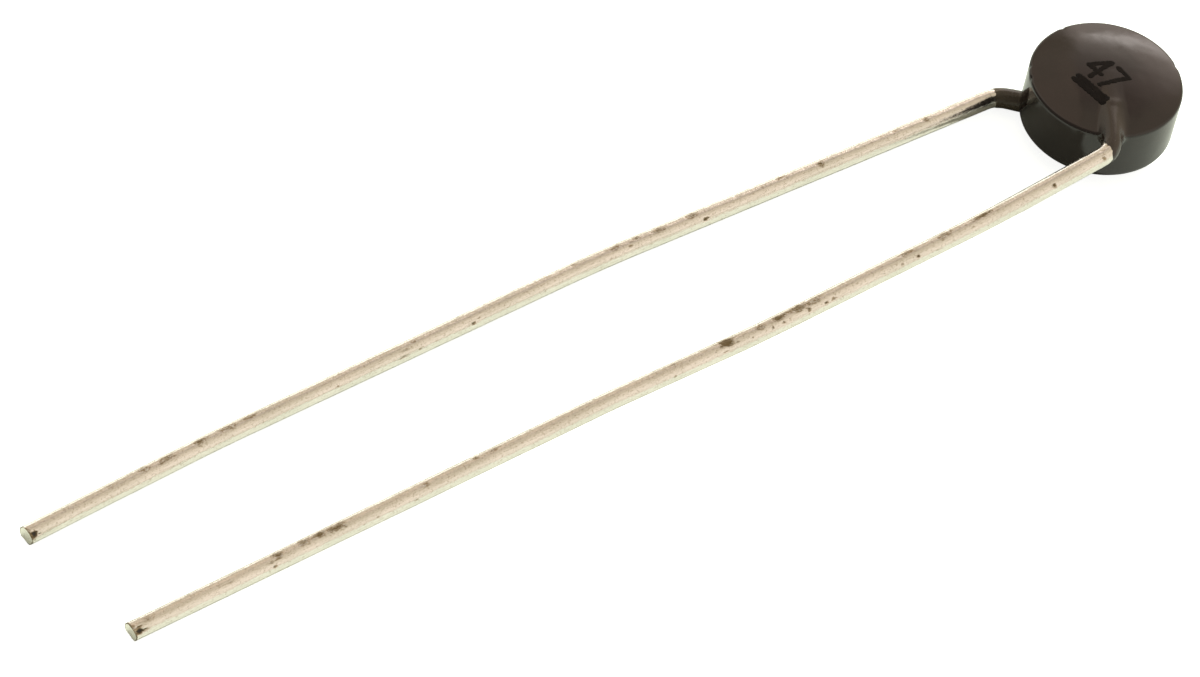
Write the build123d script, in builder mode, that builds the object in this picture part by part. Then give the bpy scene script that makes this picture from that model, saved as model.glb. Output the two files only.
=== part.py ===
from build123d import *
import os
from math import cos, radians, sin

os.makedirs("parts", exist_ok=True)

# Every size is in millimetres. The component lies on z = 0 with its two leads pointing along -X.

# Ceramic disc and its silvered faces
ceramic_d = 4.64
ceramic_t = 1.3
silver_t = 0.02
silver_margin = 0.12

# Tinned copper leads: wire and bends
wire_d = 0.6
solder_gap = 0.03
bend_r = 1.0
bow_r = 60.0

# Lead ends: the slanted cut at the soldered end leaves root_step of the wire standing
root_slant = 0.6
root_step = 0.2
tip_bevel = 0.07

# Back lead: its heading away from the disc, how far it misses the disc axis, how far in it reaches and how
# far its corner stands off the lacquered rim. Each entry of the run is a distance from the disc axis
# along -X, then one across it.
back_heading = 137
back_miss = 0.3
back_overlap = 2.9
back_clear = 0.76
back_run = [(17.2, 2.82), (31.3, 2.53), (38.04, 2.18)]

# Front lead, the same way
front_heading = -125
front_miss = -0.03
front_overlap = 1.6
front_clear = 0.59
front_run = [(6.39, -2.7), (15.42, -2.69), (20.74, -2.48), (37.3, -2.26)]

# Solder: a low mound along each wire, and a blob around its inner end
mound_h = 0.2
mound_w = 1.0
mound_draft = 40
mound_margin = 0.1
blob_d = 2.4
blob_h = 0.25

# Lacquer: its thickness on the wires, on the rim and at the edge of each face, and the rise of the faces
film = 0.04
wall_lacquer = 0.12
back_lacquer = 0.15
front_lacquer = 0.35
dome = 0.3
edge_r = 0.1
web_r = 0.2

# The share of each wire's bend that its sleeve covers
back_covered = 0.5
front_covered = 0.45

# How a sleeve rises out of the pill along the wire's slanted end: the radius of its shoulder, how far this
# stands inward of the wire's own, and how deep the sleeve starts below it
shoulder_r = 0.6
shoulder_back = 0.2
dive = 0.9

# Radii
ceramic_r = ceramic_d / 2
silver_r = ceramic_r - silver_margin
mound_reach = silver_r - mound_margin
wire_r = wire_d / 2
sleeve_r = wire_r + film
coat_r = ceramic_r + wall_lacquer
dome_r = (coat_r**2 + dome**2) / (2 * dome)

# Heights, from the floor up
back_wire_z = sleeve_r
back_silver_z = back_wire_z + wire_r + solder_gap
ceramic_z = back_silver_z + silver_t
front_silver_z = ceramic_z + ceramic_t
front_face_z = front_silver_z + silver_t
front_wire_z = front_face_z + solder_gap + wire_r
coat_bottom_z = back_silver_z - back_lacquer
coat_top_z = front_face_z + front_lacquer

# The disc stands at x = disc_x, so that the whole component is centred on the origin
reach = max(back_run[-1][0], front_run[-1][0])
disc_x = (reach - coat_r) / 2
up = Vector(0, 0, 1)


# Routes of the leads: the wire's centre line

def route_points(heading, miss, overlap, clear, run, level):
    """Inner end on the disc face, the corner outside the rim, then the run down to the floor."""
    along = Vector(cos(radians(heading)), sin(radians(heading)), 0)
    nearest = Vector(disc_x, 0, level) + along.cross(up) * miss
    corner = nearest + along * (coat_r + clear)
    tip_x = disc_x - run[-1][0]
    slope = (level - wire_r) / (corner.X - tip_x)
    points = [nearest + along * (coat_r - overlap), corner]
    for out, across in run:
        points.append(Vector(disc_x - out, across, wire_r + slope * (disc_x - out - tip_x)))
    return points


def upright(origin, direction):
    """Upright plane whose x runs along the wire there and whose y is up."""
    return Plane(origin=origin, x_dir=direction, z_dir=direction.cross(up))


with BuildLine() as back_route:
    FilletPolyline(
        *route_points(back_heading, back_miss, back_overlap, back_clear, back_run, back_wire_z),
        radius=[bend_r] + [bow_r] * (len(back_run) - 1),
    )

with BuildLine() as front_route:
    FilletPolyline(
        *route_points(front_heading, front_miss, front_overlap, front_clear, front_run, front_wire_z),
        radius=[bend_r] + [bow_r] * (len(front_run) - 1),
    )


# Ceramic disc

with BuildPart() as ceramic_disc:
    with BuildSketch(Plane.XY.offset(ceramic_z)):
        with Locations((disc_x, 0)):
            Circle(ceramic_r)
    extrude(amount=ceramic_t)


# Silver electrodes

with BuildPart() as back_electrode:
    with BuildSketch(Plane.XY.offset(back_silver_z)):
        with Locations((disc_x, 0)):
            Circle(silver_r)
    extrude(amount=silver_t)

with BuildPart() as front_electrode:
    with BuildSketch(Plane.XY.offset(front_silver_z)):
        with Locations((disc_x, 0)):
            Circle(silver_r)
    extrude(amount=silver_t)


# Leads: round wire, cut aslant at the soldered end and pinched off with a bevel at the tip

def draw_lead(route, side):
    """Draws one lead; side is 1 on the front of the disc and -1 on its back."""
    line = route.line
    with BuildSketch(Plane(origin=line @ 0, z_dir=line % 0)) as section:
        Circle(wire_r)
    sweep(section.sketch, path=line)
    rise = (wire_d - root_step) / root_slant
    with BuildSketch(upright(line @ 0, line % 0)) as slant:
        Polygon(
            (-root_slant, side * (root_step - wire_r - rise * root_slant)),
            (2 * root_slant, side * (root_step - wire_r + rise * 2 * root_slant)),
            (-root_slant, side * 2 * wire_d),
            align=None,
        )
    extrude(slant.sketch, amount=wire_d, both=True, mode=Mode.SUBTRACT)
    back = 1.6 * tip_bevel
    with BuildSketch(upright(line @ 1, line % 1)) as bevel:
        Polygon(
            (-2 * back, -wire_r - tip_bevel),
            (back, -wire_r + 2 * tip_bevel),
            (back, -wire_r - tip_bevel),
            align=None,
        )
    extrude(bevel.sketch, amount=wire_d, both=True, mode=Mode.SUBTRACT)


with BuildPart() as back_lead:
    draw_lead(back_route, -1)

with BuildPart() as front_lead:
    draw_lead(front_route, 1)


# Solder

def draw_solder(route, level, side):
    """Draws the solder on one silvered face, around the lead that lies on it."""
    root = route.line @ 0
    along = route.line % 0
    face = Plane(origin=(root.X, root.Y, level), x_dir=along, z_dir=(0, 0, side))
    with BuildSketch(face) as mound:
        with Locations((ceramic_r / 2, 0)):
            SlotCenterToCenter(ceramic_r, mound_w)
    extrude(mound.sketch, amount=mound_h, taper=mound_draft)
    blob_r = (blob_d**2 / 4 + blob_h**2) / (2 * blob_h)
    with Locations(face * Pos(wire_d, 0, blob_h - blob_r)):
        Sphere(blob_r)
    with BuildSketch(Plane(origin=(disc_x, 0, level), z_dir=(0, 0, side))) as patch:
        Circle(mound_reach)
    extrude(patch.sketch, amount=wire_d, mode=Mode.INTERSECT)


with BuildPart() as back_solder:
    draw_solder(back_route, back_silver_z, -1)
    add(back_lead.part, mode=Mode.SUBTRACT)

with BuildPart() as front_solder:
    draw_solder(front_route, front_face_z, 1)
    add(front_lead.part, mode=Mode.SUBTRACT)


# Lacquer coat: domed pill, a sleeve over each wire and round part of its bend, webs beside the sleeves

def draw_sleeve(route, side, share):
    """Draws the lacquer over one wire, from inside the pill to the given share of the bend."""
    line = route.line
    stem, bend = route.wire().order_edges()[:2]
    rise = (wire_d - root_step) / root_slant
    shoulder = (line @ 0) + (line % 0) * (root_slant - shoulder_back)
    low = shoulder - (line % 0 + up * (side * rise)) * dive
    with BuildLine() as covered:
        FilletPolyline(low, shoulder, stem @ 1, radius=shoulder_r)
        add(bend.trim(0, share))
    with BuildSketch(Plane(origin=low, z_dir=shoulder - low)) as section:
        Circle(sleeve_r)
    sweep(section.sketch, path=covered.line)


with BuildPart() as lacquer_coat:
    with BuildSketch(Plane.XY.offset(coat_bottom_z - dome)):
        with Locations((disc_x, 0)):
            Circle(coat_r)
    extrude(amount=coat_top_z - coat_bottom_z + 2 * dome)
    with Locations(Location((disc_x, 0, coat_top_z + dome - dome_r), (90, 0, 0))):
        Sphere(dome_r, mode=Mode.INTERSECT)
    with Locations(Location((disc_x, 0, coat_bottom_z - dome + dome_r), (90, 0, 0))):
        Sphere(dome_r, mode=Mode.INTERSECT)
    fillet(lacquer_coat.edges().filter_by(Plane.XY), edge_r)
    # Where a sleeve meets the pill the lacquer has drawn up into a small concave web
    draw_sleeve(back_route, -1, back_covered)
    fillet(lacquer_coat.edges(Select.NEW), web_r)
    draw_sleeve(front_route, 1, front_covered)
    fillet(lacquer_coat.edges(Select.NEW), web_r)
    for inside in (ceramic_disc, back_electrode, front_electrode):
        add(inside.part, mode=Mode.SUBTRACT)
    for inside in (back_lead, front_lead, back_solder, front_solder):
        add(inside.part, mode=Mode.SUBTRACT)


ceramic_disc.part.label = "ceramic_disc"
back_electrode.part.label = "back_electrode"
front_electrode.part.label = "front_electrode"
back_lead.part.label = "back_lead"
front_lead.part.label = "front_lead"
back_solder.part.label = "back_solder"
front_solder.part.label = "front_solder"
lacquer_coat.part.label = "lacquer_coat"

export_step(ceramic_disc.part, "parts/ceramic_disc.step")
export_step(back_electrode.part, "parts/back_electrode.step")
export_step(front_electrode.part, "parts/front_electrode.step")
export_step(back_lead.part, "parts/back_lead.step")
export_step(front_lead.part, "parts/front_lead.step")
export_step(back_solder.part, "parts/back_solder.step")
export_step(front_solder.part, "parts/front_solder.step")
export_step(lacquer_coat.part, "parts/lacquer_coat.step")
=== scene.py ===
import math

import bpy
import numpy as np
from mathutils import Matrix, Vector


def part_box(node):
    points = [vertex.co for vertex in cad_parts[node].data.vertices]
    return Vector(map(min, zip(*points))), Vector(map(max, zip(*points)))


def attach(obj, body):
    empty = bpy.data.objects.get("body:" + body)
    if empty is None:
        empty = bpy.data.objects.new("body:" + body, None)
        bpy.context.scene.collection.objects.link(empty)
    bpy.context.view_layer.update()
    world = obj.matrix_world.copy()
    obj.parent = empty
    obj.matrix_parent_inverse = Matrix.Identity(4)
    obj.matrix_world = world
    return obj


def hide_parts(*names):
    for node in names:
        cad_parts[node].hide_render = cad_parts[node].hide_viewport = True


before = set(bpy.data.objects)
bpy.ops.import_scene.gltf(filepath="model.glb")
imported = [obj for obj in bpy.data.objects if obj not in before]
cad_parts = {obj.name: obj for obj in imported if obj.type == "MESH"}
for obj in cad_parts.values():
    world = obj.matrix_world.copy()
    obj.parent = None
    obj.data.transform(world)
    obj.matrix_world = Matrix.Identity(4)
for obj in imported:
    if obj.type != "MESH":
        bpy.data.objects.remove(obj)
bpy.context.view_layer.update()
MM = 0.001

# Sizes shared with the CAD
silver_t = 0.02
solder_gap = 0.03
wall_lacquer = 0.12
back_lacquer = 0.15
front_lacquer = 0.35
dome = 0.3
edge_r = 0.1
wire_r = 0.3
film = 0.04
root_slant = 0.6
root_step = 0.2
shoulder_back = 0.2
bend_r = 1.0
bow_r = 60.0

disc_low, disc_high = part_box("ceramic_disc")
disc_x = (disc_low.x + disc_high.x) / 2 / MM
coat_r = (disc_high.x - disc_low.x) / 2 / MM + wall_lacquer
coat_bottom = disc_low.z / MM - silver_t - back_lacquer
coat_top = disc_high.z / MM + silver_t + front_lacquer
dome_r = (coat_r ** 2 + dome ** 2) / (2 * dome)
sleeve_r = wire_r + film
back_level = sleeve_r
front_level = disc_high.z / MM + silver_t + solder_gap + wire_r
shoulder_at = root_slant - shoulder_back
root_rise = (2 * wire_r - root_step) / root_slant
UP = np.array([0.0, 0.0, 1.0])

# Sizes of the looks only: the rounding of the pill's lower rim, the depth of the nicks in its upper one, and
# how far the lacquer reaches round the bend of each lead
lower_edge_r = 0.16
nick_depth = 0.035
back_reach = 0.46
front_reach = 0.62

# The webs beside each sleeve, the front one's greatest extra, how far a sleeve's end tapers and how much
# thinner it gets on the bend
back_web = 0.05
front_web = 0.17
front_web_extra = 0.11
end_taper = 0.16
bend_thinning = 0.018

# The stamped ink, above the lacquer and sunk into it
ink_over = 0.005
ink_under = 0.01

# Fineness of the meshes
ring_points = 64
ring_step = 0.05
coat_cell = 0.034
ink_cell = 0.022


# Camera

def set_camera():
    """The photograph's view, fitted to the rims and the leads: a long lens, 48 degrees above the floor."""
    right = np.array([0.8092, -0.5722, 0.1333])
    right /= np.linalg.norm(right)
    back = np.array([-0.4603, -0.4765, 0.749])
    back -= right * (back @ right)
    back /= np.linalg.norm(back)
    up = np.cross(back, right)
    place = np.array([disc_x - 108.77, -92.72, coat_top + 144.1]) * MM
    camera = bpy.data.objects.new("camera", bpy.data.cameras.new("camera"))
    bpy.context.scene.collection.objects.link(camera)
    camera.matrix_world = Matrix([[right[i], up[i], back[i], place[i]] for i in range(3)] + [[0, 0, 0, 1]])
    camera.data.lens = 195
    camera.data.sensor_width = 36
    camera.data.clip_start = 0.01
    camera.data.clip_end = 20
    bpy.context.scene.camera = camera


set_camera()
bpy.context.scene.view_settings.view_transform = "Standard"


# Smooth noise on a lattice of seeded random numbers

def fade(t):
    return t * t * t * (t * (6 * t - 15) + 10)


def noise2(u, v, seed, wrap=None):
    """Value noise between -1 and 1 on a plane. With wrap, v repeats every wrap cells."""
    lattice = np.random.default_rng(seed).uniform(-1, 1, (1024, 256))
    cells = wrap or 256
    ui, vi = np.floor(u).astype(int), np.floor(v).astype(int)
    uf, vf = fade(u - ui), fade(v - vi)

    def at(i, j):
        return lattice[i % 1024, j % cells]

    low = at(ui, vi) * (1 - uf) + at(ui + 1, vi) * uf
    high = at(ui, vi + 1) * (1 - uf) + at(ui + 1, vi + 1) * uf
    return low * (1 - vf) + high * vf


def noise3(p, cell, seed):
    """Value noise between -1 and 1 in space."""
    lattice = np.random.default_rng(seed).uniform(-1, 1, (64, 64, 64))
    q = p / cell
    i = np.floor(q).astype(int)
    f = fade(q - i)
    total = 0.0
    for a in (0, 1):
        for b in (0, 1):
            for c in (0, 1):
                weight = (
                    (f[..., 0] if a else 1 - f[..., 0])
                    * (f[..., 1] if b else 1 - f[..., 1])
                    * (f[..., 2] if c else 1 - f[..., 2])
                )
                total = total + weight * lattice[
                    (i[..., 0] + a) % 64, (i[..., 1] + b) % 64, (i[..., 2] + c) % 64
                ]
    return total


# Routes of the leads

class Route:
    """A wire's centre line: straight runs joined by arcs, as in the CAD."""

    def __init__(self, points, radii):
        points = [np.array(p, float) for p in points]
        self.parts = []
        here = points[0]
        for a, b, c, r in zip(points, points[1:], points[2:], radii):
            u = (a - b) / np.linalg.norm(a - b)
            v = (c - b) / np.linalg.norm(c - b)
            angle = math.acos(u @ v)
            reach = r / math.tan(angle / 2)
            centre = b + (u + v) / np.linalg.norm(u + v) * r / math.sin(angle / 2)
            start, end = b + u * reach, b + v * reach
            self.parts.append(("line", here, start, np.linalg.norm(start - here)))
            turn = math.pi - angle
            self.parts.append(("arc", centre, start - centre, end - centre, r * turn, turn))
            here = end
        self.parts.append(("line", here, points[-1], np.linalg.norm(points[-1] - here)))
        self.length = sum(self.span(part) for part in self.parts)

    @staticmethod
    def span(part):
        return part[3] if part[0] == "line" else part[4]

    def at(self, s):
        """Places and directions at distances s from the inner end."""
        s = np.atleast_1d(np.asarray(s, float))
        place, heading = np.zeros((len(s), 3)), np.zeros((len(s), 3))
        begin = 0.0
        for n, part in enumerate(self.parts):
            length = self.span(part)
            last = n == len(self.parts) - 1
            here = (s >= begin) & ((s < begin + length) | last)
            t = ((s[here] - begin) / length)[:, None]
            if part[0] == "line":
                place[here] = part[1] + (part[2] - part[1]) * t
                heading[here] = (part[2] - part[1]) / length
            else:
                centre, a, b, _, turn = part[1:]
                place[here] = centre + (np.sin((1 - t) * turn) * a + np.sin(t * turn) * b) / math.sin(turn)
                heading[here] = (-np.cos((1 - t) * turn) * a + np.cos(t * turn) * b) / math.sin(turn)
            begin += length
        heading /= np.linalg.norm(heading, axis=1)[:, None]
        return place, heading


def make_route(heading, miss, overlap, clear, run, level):
    """Inner end on the disc face, the corner outside the rim, then the run down to the floor."""
    turn = math.radians(heading)
    along = np.array([math.cos(turn), math.sin(turn), 0])
    nearest = np.array([disc_x, 0, level]) + np.cross(along, UP) * miss
    corner = nearest + along * (coat_r + clear)
    tip_x = disc_x - run[-1][0]
    slope = (level - wire_r) / (corner[0] - tip_x)
    points = [nearest + along * (coat_r - overlap), corner]
    points += [(disc_x - out, across, wire_r + slope * (disc_x - out - tip_x)) for out, across in run]
    return Route(points, [bend_r] + [bow_r] * (len(run) - 1))


# The numbers of both leads are those of the CAD
back_route = make_route(137, 0.3, 2.9, 0.76, [(17.2, 2.82), (31.3, 2.53), (38.04, 2.18)], back_level)
front_route = make_route(
    -125, -0.03, 1.6, 0.59, [(6.39, -2.7), (15.42, -2.69), (20.74, -2.48), (37.3, -2.26)], front_level
)


# Meshes

def new_object(name, vertices, faces, material, smooth=True):
    """A mesh object from millimetre points; faces is a list of index tuples."""
    mesh = bpy.data.meshes.new(name)
    mesh.from_pydata((np.asarray(vertices) * MM).tolist(), [], faces)
    mesh.validate()
    mesh.materials.append(material)
    if smooth:
        mesh.polygons.foreach_set("use_smooth", [True] * len(mesh.polygons))
    mesh.update()
    piece = bpy.data.objects.new(name, mesh)
    bpy.context.scene.collection.objects.link(piece)
    return piece


def point_values(piece, name, values):
    attribute = piece.data.attributes.new(name, "FLOAT", "POINT")
    attribute.data.foreach_set("value", np.asarray(values, np.float32))


# Node materials

class Nodes:
    """Short ways to lay shader nodes."""

    def __init__(self, owner):
        owner.use_nodes = True
        self.tree = owner.node_tree
        self.tree.nodes.clear()

    def node(self, kind, inputs=None, **settings):
        made = self.tree.nodes.new(kind)
        for key, value in settings.items():
            setattr(made, key, value)
        for key, value in (inputs or {}).items():
            self.feed(made.inputs[key], value)
        return made

    def feed(self, socket, value):
        if isinstance(value, bpy.types.NodeSocket):
            self.tree.links.new(value, socket)
        elif isinstance(value, (tuple, list)) and socket.type == "RGBA":
            socket.default_value = (*value, 1.0) if len(value) == 3 else value
        else:
            socket.default_value = value

    def math(self, operation, a, b=0.0):
        made = self.node("ShaderNodeMath", operation=operation)
        self.feed(made.inputs[0], a)
        self.feed(made.inputs[1], b)
        return made.outputs[0]

    def ramp(self, x, low, high, out_low=0.0, out_high=1.0, kind="SMOOTHSTEP"):
        """x from low to high becomes out_low to out_high, held beyond both."""
        ends = {"From Min": low, "From Max": high, "To Min": out_low, "To Max": out_high}
        made = self.node("ShaderNodeMapRange", {"Value": x, **ends}, interpolation_type=kind)
        return made.outputs["Result"]

    def mix(self, share, a, b):
        made = self.node("ShaderNodeMix", data_type="RGBA")
        self.feed(made.inputs["Factor"], share)
        self.feed(made.inputs[6], a)
        self.feed(made.inputs[7], b)
        return made.outputs[2]

    def noise(self, vector, scale, detail=3.0, rough=0.55):
        kept = {"Vector": vector, "Scale": scale, "Detail": detail, "Roughness": rough}
        return self.node("ShaderNodeTexNoise", kept).outputs[0]

    def attribute(self, name):
        return self.node("ShaderNodeAttribute", attribute_name=name).outputs["Fac"]

    def stretched(self, vector, scale):
        kept = {"Vector": vector, "Scale": scale}
        return self.node("ShaderNodeMapping", kept, vector_type="POINT").outputs[0]

    def bump(self, height, distance, strength):
        kept = {"Height": height, "Distance": distance, "Strength": strength}
        return self.node("ShaderNodeBump", kept).outputs[0]

    def finish(self, **inputs):
        """Ends the material in one principled shader; an underscore in a name stands for a space."""
        named = {key.replace("_", " "): value for key, value in inputs.items()}
        shader = self.node("ShaderNodeBsdfPrincipled", named)
        self.node("ShaderNodeOutputMaterial", {"Surface": shader.outputs[0]})


def new_material(name):
    """A node material, its nodes, and the place on the object that they vary with."""
    material = bpy.data.materials.new(name)
    n = Nodes(material)
    return material, n, n.node("ShaderNodeTexCoord").outputs["Object"]


def tinned_wire():
    """Bright tin over copper: lengthwise die lines, a mottled skin, brown marks where it is bruised, and
    black painted shade inside the deepest dents.
    """
    material, n, place = new_material("tinned_wire_finish")
    unrolled = n.node("ShaderNodeUVMap", uv_map="unrolled").outputs[0]
    stain_and_pit_shade = n.attribute("stain_and_pit_shade")
    cut = n.ramp(n.attribute("cut"), 0.3, 0.9)
    lines = n.noise(n.stretched(unrolled, (0.5, 14.0, 1.0)), 1.0, 4.0, 0.6)
    short = n.noise(n.stretched(unrolled, (3.5, 16.0, 1.0)), 1.0, 3.0, 0.6)
    dashes = n.noise(n.stretched(unrolled, (7.0, 26.0, 1.0)), 1.0, 3.0, 0.65)
    blotch = n.noise(n.stretched(unrolled, (0.7, 2.0, 1.0)), 1.0, 3.0, 0.6)
    skin = n.noise(place, 4500.0, 4.0, 0.6)
    grain = n.noise(place, 13000.0, 3.0, 0.65)
    # The clean metal, duller along the die lines and in the grain, paler where it is cut
    tone = n.mix(n.ramp(blotch, 0.3, 0.7), (0.77, 0.735, 0.67), (0.85, 0.795, 0.74))
    tone = n.mix(n.ramp(lines, 0.52, 0.74, 0.0, 0.40), tone, (0.62, 0.56, 0.48))
    tone = n.mix(n.ramp(short, 0.56, 0.72, 0.0, 0.35), tone, (0.60, 0.53, 0.44))
    tone = n.mix(n.ramp(dashes, 0.54, 0.72, 0.0, 0.55), tone, (0.46, 0.385, 0.31))
    tone = n.mix(n.ramp(grain, 0.54, 0.70, 0.0, 0.55), tone, (0.46, 0.385, 0.31))
    tone = n.mix(cut, tone, (0.96, 0.94, 0.86))
    # Brown marks: a broken stain and worn spots inside it, then painted shade: black inside the deepest dents
    stain = n.math("MULTIPLY", n.ramp(stain_and_pit_shade, 0.04, 0.42), n.ramp(n.math("ADD", grain, short), 0.80, 1.12))
    tone = n.mix(n.math("MULTIPLY", stain, 0.8), tone, (0.27, 0.20, 0.105))
    broken = n.math("ADD", n.math("MULTIPLY", grain, 0.7), n.math("MULTIPLY", short, 0.5))
    worn = n.math("ADD", stain_and_pit_shade, n.ramp(broken, 0.35, 0.85, 0.30, -0.40, "LINEAR"))
    worn = n.math("MULTIPLY", n.ramp(worn, 0.26, 0.66), n.ramp(stain_and_pit_shade, 0.02, 0.12))
    tone = n.mix(worn, tone, (0.085, 0.056, 0.022))
    # Painted shade: black where the dents are deepest, standing in for the shadow inside them
    tone = n.mix(n.ramp(stain_and_pit_shade, 0.9, 1.35), tone, (0.018, 0.013, 0.009))
    rough = n.math("ADD", n.ramp(lines, 0.3, 0.7, 0.13, 0.20), n.math("MULTIPLY", worn, 0.35))
    rough = n.math("ADD", rough, n.math("MULTIPLY", cut, 0.38))
    height = n.math("ADD", n.math("MULTIPLY", lines, 1.6), n.math("MULTIPLY", short, 2.4))
    height = n.math("ADD", height, n.math("MULTIPLY", skin, 4.5))
    height = n.math("ADD", height, n.math("MULTIPLY", grain, 2.2))
    height = n.math("SUBTRACT", height, n.math("MULTIPLY", worn, 0.9))
    normal = n.bump(height, 2.6e-6, 0.9)
    n.finish(Base_Color=tone, Metallic=n.ramp(worn, 0.1, 0.8, 1.0, 0.15), Roughness=rough, Normal=normal)
    return material


def lacquer():
    """Glossy dark brown lacquer, browner and thinner where it only films a wire, and lighter still on the
    back sleeve as painted fill light.
    """
    material, n, place = new_material("lacquer_finish")
    thin = n.attribute("film")
    cloud = n.noise(place, 420.0, 3.0, 0.55)
    fine = n.noise(place, 5200.0, 3.0, 0.6)
    tone = n.mix(n.ramp(cloud, 0.35, 0.65), (0.0087, 0.0055, 0.0047), (0.0126, 0.0077, 0.0067))
    # Thin film over a wire is browner; the back sleeve gets this lighter tone in full, partly painted fill
    # light for the disc's shadow that it lies in
    tone = n.mix(n.ramp(thin, 0.0, 1.0, 0.0, 1.0, "LINEAR"), tone, (0.062, 0.046, 0.029))
    rough = n.math("ADD", n.ramp(fine, 0.35, 0.75, 0.06, 0.13), n.ramp(thin, 0.0, 0.24, 0.0, 0.17))
    height = n.math("ADD", n.math("MULTIPLY", fine, 0.35), n.noise(place, 1500.0, 2.0, 0.5))
    n.finish(Base_Color=tone, Roughness=rough, IOR=1.5, Normal=n.bump(height, 1.2e-6, 0.5))
    return material


def ink():
    """Matt black stamping ink, a little thin in places."""
    material, n, place = new_material("ink_finish")
    patchy = n.noise(place, 6000.0, 4.0, 0.6)
    tone = n.mix(n.ramp(patchy, 0.4, 0.75), (0.0045, 0.0034, 0.003), (0.009, 0.007, 0.006))
    rough = n.ramp(patchy, 0.3, 0.7, 0.55, 0.75)
    n.finish(Base_Color=tone, Roughness=rough, Specular_IOR_Level=0.08, Normal=n.bump(patchy, 2.0e-6, 0.6))
    return material


def speckled(name, low, high, scale, metallic, rough, height):
    """A plain grainy finish for the pieces inside the lacquer."""
    material, n, place = new_material(name)
    grain = n.noise(place, scale, 4.0, 0.6)
    tone = n.mix(n.ramp(grain, 0.3, 0.7), low, high)
    roughness = n.ramp(grain, 0.3, 0.7, rough - 0.08, rough + 0.08)
    n.finish(Base_Color=tone, Metallic=metallic, Roughness=roughness, Normal=n.bump(grain, height, 0.6))
    return material


# Leads

CAP_SHARES = (0.94, 0.84, 0.7, 0.54, 0.38, 0.22, 0.1)


def grid_faces(rings):
    """Quads of a tube of rings."""
    faces = []
    for i in range(rings - 1):
        a, b = i * ring_points, (i + 1) * ring_points
        for j in range(ring_points):
            k = (j + 1) % ring_points
            faces.append((a + j, a + k, b + k, b + j))
    return faces


def end_cap(y, z, axes, offset, ring, count):
    """Points and faces that close one end of a lead with shrinking rings.

    y and z are the rim in its own section, and axes are the section's centre and three directions. offset
    says how far a point of the end stands out along the wire. ring is the number of the rim's first point,
    and count that of the cap's own.
    """
    centre, across, top, heading = axes
    points, faces = [], []
    for share in CAP_SHARES:
        yy, zz = y * share, z * share
        points.append(centre + np.outer(yy, across) + np.outer(zz, top) + np.outer(offset(yy, zz), heading))
        for j in range(ring_points):
            k = (j + 1) % ring_points
            faces.append((ring + j, ring + k, count + k, count + j))
        ring, count = count, count + ring_points
    middle = np.zeros(1)
    points.append((centre + offset(middle, middle)[0] * heading)[None])
    faces += [(ring + j, ring + (j + 1) % ring_points, count) for j in range(ring_points)]
    return points, faces


def lead_skin(S, T, around, length, marks, seed):
    """How deep the skin of a lead lies below its true radius, and how brown it is, with painted shade in the
    deepest dents.

    S is the distance from the inner end, T the angle from the top, and around the same angle as a share of a
    turn. A mark is its distance from the tip, its angle from the top towards -Y in degrees, its length and
    width in millimetres, its depth in micrometres and how brown it is; where this last value goes above 0.9
    it also paints black shade into the dent.
    """
    relief = 0.0016 * (1 + noise2(S * 0.35, around * 18, seed, 18))
    relief += 0.0022 * (1 + noise2(S * 1.1, around * 5, seed + 1, 5))
    relief += 0.0010 * (1 + noise2(S * 5.0, around * 16, seed + 2, 16))
    stain_and_pit_shade = np.zeros_like(S)
    breakup = 0.6 * noise2(S * 9, around * 30, seed + 3, 30) + 0.5 * noise2(S * 15, around * 50, seed + 4, 50)
    for from_tip, angle, long, wide, deep, dark in marks:
        ds = (S - (length - from_tip)) / (long / 2)
        dt = (T + math.radians(angle) + np.pi) % (2 * np.pi) - np.pi
        dt = dt * wire_r / (wide / 2)
        shape = np.exp(-((ds * ds + dt * dt) * np.maximum(1 + 0.95 * breakup, 0.1)) ** 1.4)
        relief += deep * 0.001 * shape
        stain_and_pit_shade = np.maximum(stain_and_pit_shade, dark * shape)
    return relief, stain_and_pit_shade


def unroll(piece, along, turn):
    """Maps the wire's skin flat: its length and its girth in millimetres, for the finish."""
    corners = np.zeros(len(piece.data.loops), int)
    piece.data.loops.foreach_get("vertex_index", corners)
    totals = np.zeros(len(piece.data.polygons), int)
    piece.data.polygons.foreach_get("loop_total", totals)
    v = turn[corners]
    face_of = np.repeat(np.arange(len(totals)), totals)
    highest = np.zeros(len(totals))
    np.maximum.at(highest, face_of, v)
    v = np.where((highest[face_of] > 0.9) & (v < 0.1), v + 1, v)
    layer = piece.data.uv_layers.new(name="unrolled")
    flat = np.stack([along[corners], v * 2 * np.pi * wire_r], 1)
    layer.data.foreach_set("uv", flat.astype(np.float32).reshape(-1))


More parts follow.
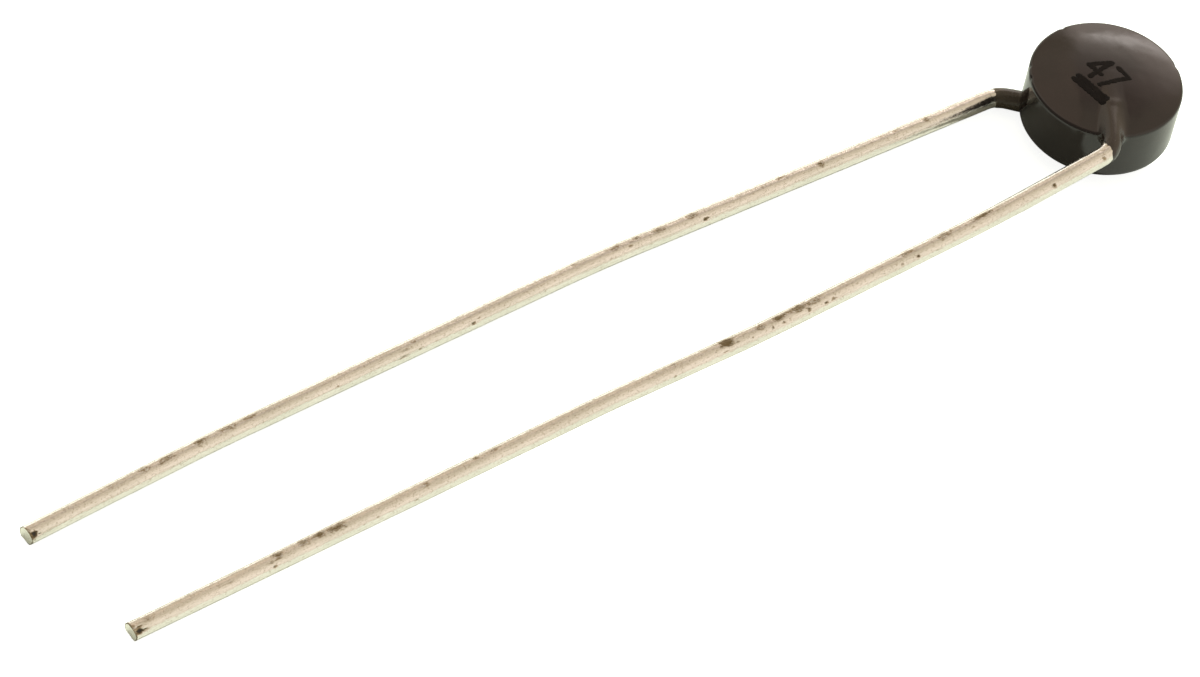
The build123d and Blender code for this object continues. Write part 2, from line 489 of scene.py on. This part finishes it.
def build_lead(name, route, side, marks, tip_cut, seed, material):
    """One lead: a fine tube with dents and die lines, a slanted inner end and a sheared tip."""
    length = route.length
    rings = int(length / ring_step) + 1
    s = np.linspace(0, length, rings)
    theta = -np.pi + 2 * np.pi * np.arange(ring_points) / ring_points
    S, T = np.meshgrid(s, theta, indexing="ij")
    around = T / (2 * np.pi) + 0.5
    relief, stain_and_pit_shade = lead_skin(S, T, around, length, marks, seed)
    radius = wire_r - relief
    place, heading = route.at(s)
    across = np.cross(heading, UP)
    across /= np.linalg.norm(across, axis=1)[:, None]
    top = np.cross(across, heading)
    y, z = radius * np.sin(T), radius * np.cos(T)

    def root_offset(y, z):
        return np.clip((side * z - (root_step - wire_r)) / root_rise, 0, root_slant)

    def tip_offset(y, z):
        return -tip_cut(y, z)

    slide = np.where(S < 1.0, root_offset(y, z) * (1 - S), 0.0)
    slide += tip_offset(y, z) * np.clip((S - (length - 0.35)) / 0.35, 0, 1)
    tube = (
        place[:, None] + across[:, None] * y[..., None] + top[:, None] * z[..., None]
        + heading[:, None] * slide[..., None]
    ).reshape(-1, 3)
    root = (place[0], across[0], top[0], heading[0])
    tip = (place[-1], across[-1], top[-1], heading[-1])
    on_tube, on_cap = len(tube), ring_points * len(CAP_SHARES) + 1
    root_points, root_faces = end_cap(y[0], z[0], root, root_offset, 0, on_tube)
    tip_points, tip_faces = end_cap(y[-1], z[-1], tip, tip_offset, on_tube - ring_points, on_tube + on_cap)
    faces = grid_faces(rings) + [face[::-1] for face in root_faces] + tip_faces
    piece = new_object(name, np.vstack([tube] + root_points + tip_points), faces, material)

    count = on_tube + 2 * on_cap
    rim_soil = 0.72 + 0.28 * noise2(theta * 5, theta * 0, seed + 5)
    cap_soil = np.concatenate([0.6 * rim_soil, np.zeros(on_cap - ring_points)])
    stain_and_pit_shade[-1] = np.maximum(stain_and_pit_shade[-1], rim_soil)
    point_values(piece, "stain_and_pit_shade", np.concatenate([stain_and_pit_shade.reshape(-1), cap_soil, cap_soil]))
    point_values(piece, "cut", np.arange(count) >= on_tube)
    along = np.full(count, length)
    along[:on_tube] = S.reshape(-1)
    turn = np.zeros(count)
    turn[:on_tube] = around.reshape(-1)
    unroll(piece, along, turn)
    piece.data.set_sharp_from_angle(angle=math.radians(38))
    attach(piece, "root")
    return piece


def back_tip(y, z):
    """The back lead's tip: a flat shear, scooped away far below and broken back at its near side."""
    scoop = np.clip((-z - 0.19 - 0.25 * np.clip(-y, 0, 1)) / 0.11, 0, 1.6) ** 1.5 * 0.09
    return scoop + 0.22 * np.clip(-y - 0.08, 0, 1) + 0.004


def front_tip(y, z):
    """The front lead's tip: the same shear with a straight bevel below."""
    bevel = np.clip((-z - 0.17 - 0.2 * np.clip(-y, 0, 1)) / 0.13, 0, 1.5) * 0.10
    return bevel + 0.22 * np.clip(-y - 0.10, 0, 1) + 0.004


BACK_MARKS = [
    # The first mark is the deep pit by the tip; its darkness of 1.6 paints black shade into it
    (0.14, 47, 0.20, 0.21, 45, 1.6),
    (0.05, 20, 0.10, 0.30, 6, 0.45),
    (33.15, -1, 0.28, 0.19, 10, 0.55),
    (32.0, -7, 0.30, 0.15, 4, 0.3),
    (31.5, -9, 0.35, 0.14, 4, 0.3),
    (29.1, 5, 0.26, 0.23, 14, 0.6),
    (27.6, -11, 0.40, 0.17, 6, 0.5),
    (26.9, 1, 0.12, 0.14, 4, 0.3),
    (24.65, 46, 0.14, 0.10, 20, 0.9),
    (24.3, -3, 0.50, 0.19, 6, 0.55),
    (23.0, -1, 0.45, 0.19, 8, 0.6),
    (22.2, -5, 0.30, 0.18, 6, 0.55),
    (21.9, 26, 0.16, 0.07, 10, 0.7),
    (21.4, -5, 0.50, 0.19, 6, 0.5),
    (19.9, -9, 0.25, 0.16, 4, 0.35),
    (18.6, 44, 0.06, 0.22, 5, 0.4),
    (16.2, 40, 0.16, 0.05, 8, 0.5),
    (15.95, 54, 0.13, 0.08, 14, 0.7),
    (14.0, 58, 0.14, 0.07, 10, 0.5),
    (13.9, 1, 0.14, 0.14, 6, 0.5),
    (13.55, 28, 0.30, 0.06, 8, 0.5),
    (13.4, 60, 0.40, 0.05, 8, 0.5),
    (11.0, 52, 0.10, 0.06, 8, 0.5),
    (8.0, -7, 0.50, 0.15, 5, 0.5),
    (7.2, -3, 0.60, 0.18, 6, 0.55),
    (6.2, -5, 0.45, 0.21, 8, 0.65),
    (5.0, -3, 0.50, 0.21, 8, 0.6),
    (4.2, -7, 0.40, 0.18, 6, 0.5),
    (3.0, -5, 0.30, 0.16, 4, 0.35),
    (1.4, 72, 0.10, 0.10, 6, 0.3),
]
FRONT_MARKS = [
    # The first mark is the deep pit by the tip; its darkness of 1.6 paints black shade into it
    (0.16, 50, 0.22, 0.22, 45, 1.6),
    (0.06, 18, 0.10, 0.30, 6, 0.45),
    (35.6, -9, 0.40, 0.15, 5, 0.4),
    (35.1, 44, 0.12, 0.16, 12, 0.55),
    (33.1, 40, 0.13, 0.15, 18, 0.85),
    (31.9, 34, 0.07, 0.20, 6, 0.3),
    (30.4, -9, 0.90, 0.16, 8, 0.7),
    (29.9, 30, 0.20, 0.08, 5, 0.3),
    (28.9, -5, 0.60, 0.25, 8, 0.5),
    (28.6, 62, 0.30, 0.05, 4, 0.35),
    (27.8, 42, 0.13, 0.12, 18, 0.85),
    (27.2, 44, 0.08, 0.08, 12, 0.65),
    (27.5, -9, 0.60, 0.15, 6, 0.55),
    (26.5, 46, 0.10, 0.08, 8, 0.4),
    (24.6, 42, 0.14, 0.12, 12, 0.55),
    (24.3, 46, 0.14, 0.10, 12, 0.6),
    (24.0, -1, 0.60, 0.23, 8, 0.5),
    (23.7, 38, 0.12, 0.14, 16, 0.75),
    (23.4, -5, 0.70, 0.25, 10, 0.7),
    (22.75, 38, 0.09, 0.10, 14, 0.75),
    (22.7, -3, 0.60, 0.22, 10, 0.75),
    (22.35, 38, 0.09, 0.09, 14, 0.8),
    (22.0, 3, 0.40, 0.21, 8, 0.5),
    (21.6, 40, 0.08, 0.08, 12, 0.65),
    (20.8, 3, 0.55, 0.31, 14, 0.85),
    (20.6, 50, 0.16, 0.05, 6, 0.45),
    (18.9, -7, 0.25, 0.15, 5, 0.4),
    (18.8, 60, 0.10, 0.06, 8, 0.55),
    (17.4, 58, 0.08, 0.06, 8, 0.5),
    (12.5, -7, 0.50, 0.16, 6, 0.4),
    (11.9, -11, 0.22, 0.14, 5, 0.5),
    (10.1, 7, 0.25, 0.17, 5, 0.4),
    (9.6, 62, 0.12, 0.06, 8, 0.5),
    (8.3, 54, 0.10, 0.07, 8, 0.4),
    (7.0, -1, 0.70, 0.19, 9, 0.7),
    (6.4, -5, 0.50, 0.21, 9, 0.75),
    (5.9, -3, 0.40, 0.21, 8, 0.6),
    (5.0, -3, 0.35, 0.25, 10, 0.65),
    (4.75, 52, 0.14, 0.08, 12, 0.7),
    (4.7, 22, 0.15, 0.08, 8, 0.55),
    (3.3, 22, 0.25, 0.07, 5, 0.35),
    (0.6, 5, 0.50, 0.16, 5, 0.35),
    (0.4, 58, 0.40, 0.08, 6, 0.35),
]


# Lacquer: one implicit surface, so that pill, sleeves and webs flow into each other

def smooth_max(a, b, k):
    h = np.clip(0.5 - 0.5 * (b - a) / k, 0, 1)
    return a * h + b * (1 - h) + k * h * (1 - h)


def smooth_min(a, b, k):
    return -smooth_max(-a, -b, k)


# Nicks in the upper rim: the angle round the disc in degrees, and the half width
RIM_NICKS = [(138.5, 0.08), (151, 0.09), (87.5, 0.07), (345, 0.10)]


def pill(p):
    """The domed disc with its rounded rim."""
    x, y, z = p[..., 0] - disc_x, p[..., 1], p[..., 2]
    out = np.sqrt(x * x + y * y)
    upper = np.sqrt(out * out + (z - (coat_top + dome - dome_r)) ** 2) - dome_r
    lower = np.sqrt(out * out + (z - (coat_bottom - dome + dome_r)) ** 2) - dome_r
    d = smooth_max(smooth_max(out - coat_r, upper, edge_r), lower, lower_edge_r)
    turn = np.arctan2(y, x)
    for angle, size in RIM_NICKS:
        a = math.radians(angle)
        off = (turn - a + np.pi) % (2 * np.pi) - np.pi
        off = off * coat_r / size
        gap = np.sqrt(off ** 2 + ((out - coat_r) / 0.07) ** 2 + ((z - coat_top) / 0.09) ** 2)
        d = d + nick_depth * np.exp(-gap ** 2)
    return d


def to_segment(p, a, b):
    """Offset from the nearest point of a straight piece, and how far along it that point is."""
    ab = b - a
    length = np.linalg.norm(ab)
    u = ab / length
    s = np.clip((p - a) @ u, 0, length)
    return p - (a + s[..., None] * u), s


EASE_LEFT = 0.59


def sleeve(p, route, side, reach, lean, ease, seed):
    """The lacquer over one wire, from inside the pill to its ragged end on the bend.

    reach is how far round the bend the lacquer stops, and lean is how much later it stops on the outside of
    the bend. ease is how much lower the sleeve starts, so that it rises gently out of the face; EASE_LEFT of
    it is left at the shoulder.
    """
    line, arc = route.parts[0], route.parts[1]
    straight = line[3]
    along = (line[2] - line[1]) / straight
    shoulder = line[1] + along * shoulder_at
    low = shoulder - (along + UP * side * 0.08) * 1.2
    off_nose, _ = to_segment(p, low, shoulder)
    d_nose = np.linalg.norm(off_nose, axis=-1) - sleeve_r + EASE_LEFT * ease
    off_line, s_line = to_segment(p, shoulder, line[2])
    d_line = np.linalg.norm(off_line, axis=-1)
    centre, a, b, _, turn = arc[1:]
    e1 = a / np.linalg.norm(a)
    normal = np.cross(a, b)
    normal /= np.linalg.norm(normal)
    e2 = np.cross(normal, e1)
    q = p - centre
    angle = np.clip(np.arctan2(q @ e2, q @ e1), 0, turn)
    ring = np.linalg.norm(a) * (np.cos(angle)[..., None] * e1 + np.sin(angle)[..., None] * e2)
    off_arc = q - ring
    d_arc = np.linalg.norm(off_arc, axis=-1)
    on_arc = d_arc < d_line
    off = np.where(on_arc[..., None], off_arc, off_line)
    s = np.where(on_arc, straight + angle * bend_r, shoulder_at + s_line)
    turned = -np.sin(angle)[..., None] * e1 + np.cos(angle)[..., None] * e2
    heading = np.where(on_arc[..., None], turned, along)
    across = np.cross(heading, UP)
    theta = np.arctan2(np.sum(off * across, -1), off[..., 2])
    ragged = 0.03 * noise2(theta * 1.6 + 9, theta * 0 + 2.5, seed)
    ragged += 0.035 * noise2(theta * 5 + 40, theta * 0, seed)
    stop = straight + reach - lean * np.sin(theta) + ragged
    skin = np.clip((stop - s) / end_taper, -1, 1)
    thin = np.clip((s - straight + 0.5) / 0.9, 0, 1)
    full = sleeve_r - bend_thinning * thin * thin * (3 - 2 * thin)
    swell = 0.005 * noise2(s * 2.2 + 20, theta * 1.3 + 20, seed + 1)
    full = full - ease * (1 - np.clip((s - 0.1) / 1.3, 0, 1)) ** 2
    skin = np.where(skin > 0, np.sqrt(np.clip(skin, 0, 1)), skin)
    under = wire_r - 0.02
    d_wire = np.minimum(d_arc, d_line) - under - (full - under + swell) * skin
    return smooth_min(d_nose, d_wire, 0.06)


def back_sleeve(p):
    return sleeve(p, back_route, -1, back_reach, 0.02, 0.0, 31)


def front_sleeve(p):
    return sleeve(p, front_route, 1, front_reach, 0.12, 0.08, 41)


def coat_field(p):
    """The whole coat, flat where it lies on the floor."""
    d = smooth_min(pill(p), back_sleeve(p), back_web)
    # The front web is wider on the sleeve's right side above the rim
    root, end = front_route.parts[0][1:3]
    right = np.cross(UP, end - root) / front_route.parts[0][3]
    beside = np.clip(((p - root) @ right) / 0.35, 0, 1)
    high = np.clip((p[..., 2] - coat_top + 0.7) / 0.7, 0, 1)
    web = front_web + front_web_extra * high * beside
    d = smooth_min(d, front_sleeve(p), web)
    ripple = 0.0035 * noise3(p, 0.9, 5) + 0.0012 * noise3(p, 0.28, 6)
    return np.maximum(d - ripple, -p[..., 2])


def surface_nets(field, low, high, cell):
    """Quads round the zero surface of a field, one vertex in each cell that it crosses."""
    size = np.ceil((high - low) / cell).astype(int) + 1
    axes = [low[i] + cell * np.arange(size[i]) for i in range(3)]
    values = np.empty(size, np.float32)
    yz = np.stack(np.meshgrid(axes[1], axes[2], indexing="ij"), -1)
    for i, x in enumerate(axes[0]):
        slab = np.empty(yz.shape[:2] + (3,))
        slab[..., 0] = x
        slab[..., 1:] = yz
        values[i] = field(slab)
    inside = values < 0
    corners = [(a, b, c) for a in (0, 1) for b in (0, 1) for c in (0, 1)]
    total = sum(
        inside[a:size[0] - 1 + a, b:size[1] - 1 + b, c:size[2] - 1 + c].astype(np.int8) for a, b, c in corners
    )
    cells = np.argwhere((total > 0) & (total < 8))
    number = np.full(np.array(size) - 1, -1, int)
    number[tuple(cells.T)] = np.arange(len(cells))
    spot, hits = np.zeros((len(cells), 3)), np.zeros(len(cells))
    for c0 in corners:
        for axis in range(3):
            if c0[axis]:
                continue
            c1 = list(c0)
            c1[axis] = 1
            f0 = values[tuple((cells + c0).T)]
            f1 = values[tuple((cells + c1).T)]
            cross = (f0 < 0) != (f1 < 0)
            t = np.where(cross, f0 / np.where(cross, f0 - f1, 1), 0)
            point = np.array(c0, float) + t[:, None] * (np.array(c1) - c0)
            spot += np.where(cross[:, None], point, 0)
            hits += cross
    vertices = low + (cells + spot / hits[:, None]) * cell
    faces = []
    for axis in range(3):
        u, v = (axis + 1) % 3, (axis + 2) % 3
        first = [slice(1, -1)] * 3
        first[axis] = slice(0, -1)
        second = list(first)
        second[axis] = slice(1, None)
        cross = inside[tuple(first)] != inside[tuple(second)]
        at = np.argwhere(cross)
        at[:, u] += 1
        at[:, v] += 1
        quad = []
        for du, dv in ((-1, -1), (0, -1), (0, 0), (-1, 0)):
            near = at.copy()
            near[:, u] += du
            near[:, v] += dv
            quad.append(number[tuple(near.T)])
        quad = np.stack(quad, 1)
        outward = inside[tuple(at.T)]
        quad[~outward] = quad[~outward][:, ::-1]
        faces.append(quad)
    return vertices, np.vstack(faces)


def slope(field, p, h=2e-3):
    """The field's gradient at each point."""
    return np.stack([
        (field(p + np.eye(3)[i] * h) - field(p - np.eye(3)[i] * h)) / (2 * h) for i in range(3)
    ], -1)


def settle(field, p, rounds=3):
    """Moves points onto the zero surface."""
    for _ in range(rounds):
        g = slope(field, p)
        p = p - (field(p) / np.maximum((g * g).sum(-1), 0.2))[:, None] * g
    return p


def build_lacquer(material):
    """The coat's mesh, smoothed by the field's own slopes, with the share of thin film at each point, full on
    the back sleeve as painted fill light.
    """
    # A box round the pill and both sleeves
    low = np.array([disc_x - coat_r - 0.7, -3.15, -0.09])
    high = np.array([disc_x + coat_r + 0.1, 2.9, front_level + sleeve_r + 0.1])
    vertices, faces = surface_nets(coat_field, low, high, coat_cell)
    vertices = settle(coat_field, vertices)
    vertices[:, 2] = np.maximum(vertices[:, 2], 0.0)
    piece = new_object("lacquer_skin", vertices, faces.tolist(), material)
    normals = slope(coat_field, vertices)
    normals /= np.linalg.norm(normals, axis=1)[:, None]
    if len(piece.data.vertices) == len(normals):
        piece.data.normals_split_custom_set_from_vertices(normals.tolist())
    # The back sleeve counts as all film: its thin lacquer, lifted further as painted fill light because the
    # disc shades it
    back_film_and_fill_light = np.clip(1 - back_sleeve(vertices) / 0.12, 0, 1)
    by_front = np.clip(1 - front_sleeve(vertices) / 0.16, 0, 1)
    point_values(piece, "film", np.maximum(back_film_and_fill_light, 0.15 * by_front))
    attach(piece, "root")
    return piece


# Stamped mark: a plain bar and two plain figures

def strokes():
    """Line pieces of the mark on the disc's plan: ends and half width, from the disc's axis."""
    foot = np.array([-0.60, 0.285])
    along, upward = np.array([0.118, -0.993]), np.array([0.993, 0.118])

    def spot(u, v):
        return foot + along * u + upward * v

    bar = [((-0.10, -0.27), (1.10, -0.25), 0.10), ((-0.12, -0.46), (1.13, -0.44), 0.10)]
    four = [((0.13, 0.0), (0.13, 0.97)), ((0.13, 0.97), (-0.25, 0.32)), ((-0.25, 0.32), (0.27, 0.32))]
    seven = [((0.42, 0.97), (0.90, 0.97)), ((0.90, 0.97), (0.56, 0.0))]
    parts = [(spot(*a), spot(*b), half) for a, b, half in bar]
    return parts + [(spot(*a), spot(*b), 0.085) for a, b in four + seven]


def ink_field(q):
    """Signed distance to the stamped strokes, with the ragged edge of thick ink."""
    d = np.full(q.shape[:-1], 9.0)
    for a, b, half in strokes():
        off, _ = to_segment(q, a, b)
        d = np.minimum(d, np.linalg.norm(off, axis=-1) - half)
    rough = 0.018 * noise2(q[..., 0] * 14 + 50, q[..., 1] * 14 + 50, 61)
    rough = rough + 0.012 * noise2(q[..., 0] * 40 + 90, q[..., 1] * 40 + 90, 62)
    return d + rough


def build_mark(material):
    """The ink as a thin closed sheet lying on the lacquer."""
    xs, ys = np.arange(-1.4, 0.5, ink_cell), np.arange(-1.4, 0.7, ink_cell)
    grid = np.stack(np.meshgrid(xs, ys, indexing="ij"), -1)
    corner = {}
    quads = []

    def index(i, j):
        return corner.setdefault((i, j), len(corner))

    for i, j in np.argwhere(ink_field(grid[:-1, :-1] + ink_cell / 2) < 0):
        quads.append((index(i, j), index(i + 1, j), index(i + 1, j + 1), index(i, j + 1)))
    plan = np.array([grid[k] for k in corner])
    edges = {edge: True for quad in quads for edge in zip(quad, quad[1:] + quad[:1])}
    border = [(a, b) for a, b in edges if (b, a) not in edges]
    rim = sorted({a for a, _ in border} | {b for _, b in border})
    q = plan[rim]
    h = 1e-3
    for _ in range(2):
        g = np.stack([(ink_field(q + d) - ink_field(q - d)) / (2 * h) for d in np.eye(2) * h], -1)
        move = (ink_field(q) / np.maximum((g * g).sum(-1), 0.5))[:, None] * g
        q = q - np.clip(move, -0.45 * ink_cell, 0.45 * ink_cell)
    plan[rim] = q
    n = len(plan)
    surface = np.column_stack([plan[:, 0] + disc_x, plan[:, 1], np.full(n, coat_top + dome)])
    for _ in range(6):
        surface[:, 2] -= coat_field(surface)
    vertices = np.vstack([surface + UP * ink_over, surface - UP * ink_under])
    faces = list(quads) + [tuple(n + k for k in quad[::-1]) for quad in quads]
    faces += [(b, a, n + a, n + b) for a, b in border]
    piece = new_object("ink_mark", vertices, faces, material)
    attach(piece, "root")
    return piece


tin = tinned_wire()
lead_back = build_lead("lead_back", back_route, -1, BACK_MARKS, back_tip, 100, tin)
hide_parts("back_lead")
lead_front = build_lead("lead_front", front_route, 1, FRONT_MARKS, front_tip, 200, tin)
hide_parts("front_lead")
skin = build_lacquer(lacquer())
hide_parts("lacquer_coat")
build_mark(ink())

# Finishes of the pieces that stay as the CAD made them, all inside the lacquer
ceramic = speckled("ceramic_finish", (0.05, 0.047, 0.045), (0.10, 0.095, 0.09), 5000.0, 0.0, 0.7, 4e-6)
silver = speckled("silver_finish", (0.74, 0.73, 0.70), (0.86, 0.85, 0.82), 4000.0, 1.0, 0.4, 2e-6)
solder = speckled("solder_finish", (0.46, 0.46, 0.46), (0.62, 0.62, 0.61), 1500.0, 1.0, 0.34, 4e-6)
inner = {
    "ceramic_disc": ceramic, "back_electrode": silver, "back_solder": solder, "front_electrode": silver,
    "front_solder": solder,
}
for node, material in inner.items():
    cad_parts[node].data.materials.clear()
    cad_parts[node].data.materials.append(material)


# Floor and light

def build_floor():
    """A pale floor that looks white to the camera and keeps the part's soft shadow."""
    half = 2500.0
    material = bpy.data.materials.new("floor_finish")
    n = Nodes(material)
    seen = n.node("ShaderNodeLightPath").outputs["Is Camera Ray"]
    diffuse = n.node("ShaderNodeBsdfDiffuse", {"Color": (0.59, 0.65, 0.61)})
    strength = n.math("MULTIPLY", seen, 0.87)
    glow = n.node("ShaderNodeEmission", {"Color": (1.0, 1.0, 1.0), "Strength": strength})
    both = n.node("ShaderNodeAddShader")
    n.feed(both.inputs[0], diffuse.outputs[0])
    n.feed(both.inputs[1], glow.outputs[0])
    n.node("ShaderNodeOutputMaterial", {"Surface": both.outputs[0]})
    corners = [(-half, -half, 0), (half, -half, 0), (half, half, 0), (-half, half, 0)]
    floor = new_object("floor", corners, [(0, 1, 2, 3)], material, smooth=False)


# Brighter and dimmer parts of the walls: azimuths, heights and softness of both in degrees, and the light
WALL_PATCHES = [
    ((50, 110), (13, 70), 3, 4, (0.55, 0.49, 0.36)),
    ((51.5, 110), (36, 80), 1.5, 5, (0.80, 0.67, 0.52)),
    ((-90, -20), (4, 64), 10, 7, (0.90, 0.81, 0.66)),
    ((-90, -48), (12, 42), 6, 7, (1.04, 0.95, 0.81)),
    ((50, 72), (13, 28), 3, 3, (0.82, 0.73, 0.60)),
    ((80, 112), (8, 75), 4, 4, (1.05, 0.93, 0.76)),
    ((45, 80), (-5, 9), 4, 3, (2.4, 2.35, 2.2)),
]


def build_world():
    """A room with a bright low panel beyond the part and dimmer, warmer walls elsewhere."""
    world = bpy.data.worlds.new("studio")
    bpy.context.scene.world = world
    n = Nodes(world)
    way = n.node("ShaderNodeTexCoord").outputs["Generated"]
    split = n.node("ShaderNodeSeparateXYZ", {"Vector": way})
    x, y, z = split.outputs
    azimuth = n.math("MULTIPLY", n.math("ARCTAN2", y, x), 180 / math.pi)
    height = n.math("MULTIPLY", n.math("ARCSINE", z), 180 / math.pi)

    def band(value, low, high, soft):
        rise = n.ramp(value, low - soft, low + soft)
        fall = n.ramp(value, high - soft, high + soft, 1.0, 0.0)
        return n.math("MULTIPLY", rise, fall)

    def patch(az, el, az_soft, el_soft):
        return n.math("MULTIPLY", band(azimuth, *az, az_soft), band(height, *el, el_soft))

    light = n.mix(n.ramp(height, 1.0, 6.0), (0.98, 1.0, 0.90), (0.71, 0.63, 0.49))
    light = n.mix(n.ramp(n.math("ABSOLUTE", azimuth), 85.0, 125.0), light, (0.27, 0.25, 0.21))
    for az, el, az_soft, el_soft, colour in WALL_PATCHES:
        light = n.mix(patch(az, el, az_soft, el_soft), light, colour)
    # The far wall: dim high up, brighter lower down, with a glowing panel across it
    far = n.mix(n.ramp(height, 28.0, 42.0, kind="LINEAR"), (1.85, 1.62, 1.42), (0.84, 0.73, 0.63))
    far = n.mix(n.ramp(height, 42.0, 54.0, kind="LINEAR"), far, (0.50, 0.43, 0.36))
    panel = n.mix(n.ramp(azimuth, 20.0, 40.0), (2.7, 2.4, 2.15), (4.4, 4.0, 3.7))
    foot = n.math("SUBTRACT", height, n.ramp(azimuth, 36.0, 47.0, 20.5, 26.0, "LINEAR"))
    head = n.math("SUBTRACT", height, n.ramp(azimuth, 33.0, 41.0, -2.0, 0.5))
    lit = n.math("MULTIPLY", n.ramp(foot, -2.0, 2.5), n.ramp(head, 25.5, 31.0, 1.0, 0.0))
    far = n.mix(n.math("MULTIPLY", lit, n.ramp(azimuth, 46.0, 51.0, 1.0, 0.0)), far, panel)
    inside = n.math("MULTIPLY", n.ramp(azimuth, 13.0, 24.0), n.ramp(azimuth, 50.0, 55.0, 1.0, 0.0))
    inside = n.math("MULTIPLY", inside, band(height, 12.0, 62.0, 5.0))
    light = n.mix(inside, light, far)
    sky = n.node("ShaderNodeBackground", {"Color": light, "Strength": 1.0})
    n.node("ShaderNodeOutputWorld", {"Surface": sky.outputs[0]})


def build_lamp():
    """A small distant lamp beyond the disc, so that the shadow lies on the floor between the leads."""
    lamp = bpy.data.objects.new("lamp", bpy.data.lights.new("lamp", "SUN"))
    bpy.context.scene.collection.objects.link(lamp)
    lamp.data.energy = 5.2
    lamp.data.color = (1.0, 0.98, 0.9)
    lamp.data.angle = math.radians(5)
    way, height = math.radians(2), math.radians(43)
    towards = np.array([math.cos(height) * math.cos(way), math.cos(height) * math.sin(way), math.sin(height)])
    side = np.cross(UP, towards)
    side /= np.linalg.norm(side)
    top = np.cross(towards, side)
    lamp.matrix_world = Matrix([[side[i], top[i], towards[i], towards[i]] for i in range(3)] + [[0, 0, 0, 1]])
    lamp.visible_glossy = False


build_floor()
build_world()
build_lamp()
